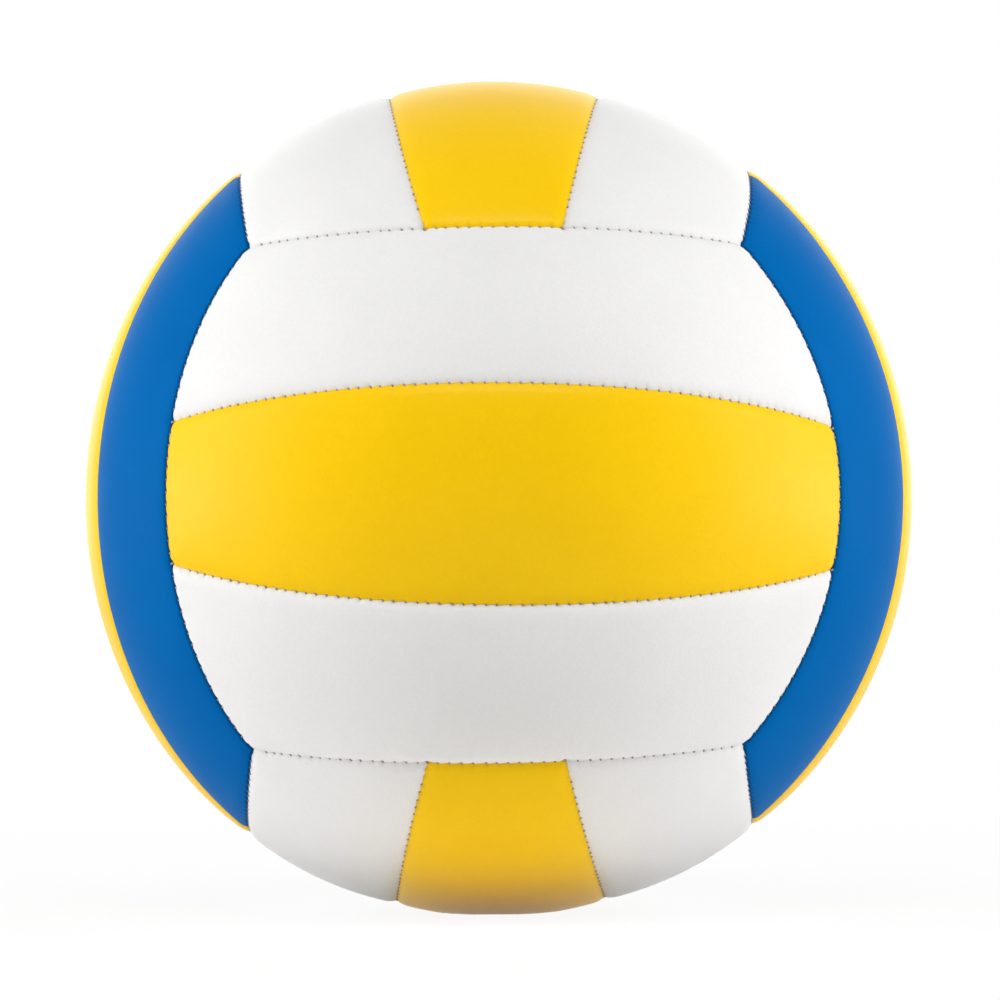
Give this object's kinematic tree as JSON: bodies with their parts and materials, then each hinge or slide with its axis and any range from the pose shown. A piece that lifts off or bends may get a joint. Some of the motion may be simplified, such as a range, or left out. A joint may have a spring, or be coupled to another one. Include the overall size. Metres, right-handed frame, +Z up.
{
  "type": "volleyball",
  "caption": "Inflatable indoor volleyball: sewn strip panels in a woven cube layout, with foam backing, a rubber bladder and a needle valve.",
  "frame": {"origin": "centre of the ball", "axes": "+Z up, +Y out through the valve on the back face, front face towards -Y, +X to the right of someone facing the front"},
  "size_m": [0.21, 0.2099, 0.2095],
  "materials": {
    "white_leather": "satin synthetic leather, fine grain",
    "yellow_leather": "satin synthetic leather, fine grain",
    "blue_leather": "satin synthetic leather, fine grain",
    "foam": "closed cell foam",
    "thread": "polyester sewing thread",
    "bladder_rubber": "matte rubber",
    "valve_rubber": "moulded rubber"
  },
  "bodies": {
    "root": {"front_top_panel": "white_leather", "front_top_foam": "foam", "front_middle_panel": "yellow_leather", "front_middle_foam": "foam", "front_bottom_panel": "white_leather", "front_bottom_foam": "foam", "front_strip_threads": "thread", "front_top_edge_thread": "thread", "front_bottom_edge_thread": "thread", "back_top_panel": "white_leather", "back_top_foam": "foam", "back_middle_panel": "yellow_leather", "back_middle_foam": "foam", "back_bottom_panel": "white_leather", "back_bottom_foam": "foam", "back_strip_threads": "thread", "back_top_edge_thread": "thread", "back_bottom_edge_thread": "thread", "left_back_panel": "blue_leather", "left_back_foam": "foam", "left_middle_panel": "yellow_leather", "left_middle_foam": "foam", "left_front_panel": "blue_leather", "left_front_foam": "foam", "left_strip_threads": "thread", "left_back_edge_thread": "thread", "left_front_edge_thread": "thread", "right_front_panel": "blue_leather", "right_front_foam": "foam", "right_middle_panel": "yellow_leather", "right_middle_foam": "foam", "right_back_panel": "blue_leather", "right_back_foam": "foam", "right_strip_threads": "thread", "right_front_edge_thread": "thread", "right_back_edge_thread": "thread", "top_left_panel": "white_leather", "top_left_foam": "foam", "top_middle_panel": "yellow_leather", "top_middle_foam": "foam", "top_right_panel": "white_leather", "top_right_foam": "foam", "top_strip_threads": "thread", "top_left_edge_thread": "thread", "top_right_edge_thread": "thread", "bottom_right_panel": "white_leather", "bottom_right_foam": "foam", "bottom_middle_panel": "yellow_leather", "bottom_middle_foam": "foam", "bottom_left_panel": "white_leather", "bottom_left_foam": "foam", "bottom_strip_threads": "thread", "bottom_right_edge_thread": "thread", "bottom_left_edge_thread": "thread", "bladder": "bladder_rubber", "valve_housing": "valve_rubber", "valve_plug": "valve_rubber"}
  },
  "joints": []
}
